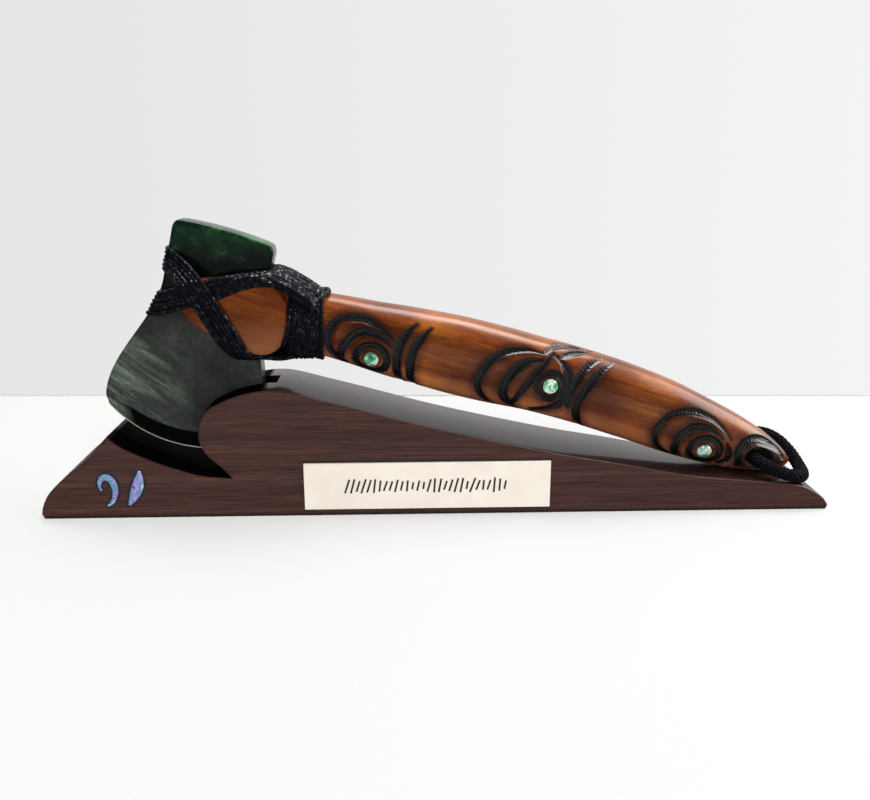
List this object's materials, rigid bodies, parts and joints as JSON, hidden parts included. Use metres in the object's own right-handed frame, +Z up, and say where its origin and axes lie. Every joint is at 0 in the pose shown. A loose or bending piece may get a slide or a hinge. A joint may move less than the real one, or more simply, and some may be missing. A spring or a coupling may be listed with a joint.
{
  "type": "hafted axe on display stand",
  "caption": "Greenstone axe lashed into a carved, lacquered wooden haft with shell eyes, lying in a carved wooden display stand.",
  "frame": {"origin": "middle of the stand's underside", "axes": "+X along the stand from the blade to the butt, +Y from the front with the plate to the back, +Z up"},
  "size_m": [0.3796, 0.0465, 0.1386],
  "materials": {
    "stained_wood": "dark stain, satin",
    "lacquered_wood": "clear gloss lacquer",
    "greenstone": "polished",
    "black_cord": "waxed",
    "ivory_plate": "satin",
    "paua_shell": "polished nacre"
  },
  "bodies": {
    "root": {"stand": "stained_wood", "name_plate": "ivory_plate", "shell_curl": "paua_shell", "shell_leaf": "paua_shell", "axe_head": "greenstone", "haft": "lacquered_wood", "shell_disc_first": "paua_shell", "shell_disc_middle": "paua_shell", "shell_disc_last": "paua_shell", "lashing": "black_cord", "wrist_cord": "black_cord"}
  },
  "joints": []
}
